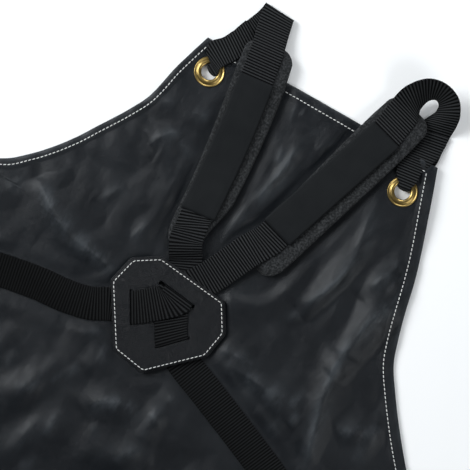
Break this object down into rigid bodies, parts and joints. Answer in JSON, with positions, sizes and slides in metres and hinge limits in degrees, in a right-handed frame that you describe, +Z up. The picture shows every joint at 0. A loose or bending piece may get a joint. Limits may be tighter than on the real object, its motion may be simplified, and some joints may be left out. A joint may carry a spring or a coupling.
{
  "type": "welding apron",
  "caption": "Black leather welding apron lying inner side up, with brass eyelets and a padded cross-back webbing harness.",
  "frame": {"origin": "on the underside of the leather, at the middle of the waist", "axes": "+X across the bib to its right as seen from the inner side, +Y towards the bib's top hem, +Z up from the floor"},
  "size_m": [0.6773, 1.0648, 0.0371],
  "materials": {
    "black_leather": "soft satin black leather, lightly wrinkled",
    "plate_leather": "smooth satin black leather, white stitching round the edge",
    "brass": "polished yellow brass",
    "pad_knit": "black knit flecked with grey, matt",
    "pad_facing": "smooth dull black facing",
    "webbing": "black ribbed webbing with a slight sheen"
  },
  "bodies": {
    "root": {"apron_body": "black_leather", "back_plate_lower": "plate_leather", "back_plate_upper": "plate_leather", "eyelet_left": "brass", "eyelet_right": "brass", "pad_left": "pad_knit", "pad_right": "pad_knit", "pad_panel_left": "pad_facing", "pad_panel_right": "pad_facing", "eyelet_loop_left": "webbing", "eyelet_loop_right": "webbing", "cross_strap_left": "webbing", "cross_strap_right": "webbing"}
  },
  "joints": []
}
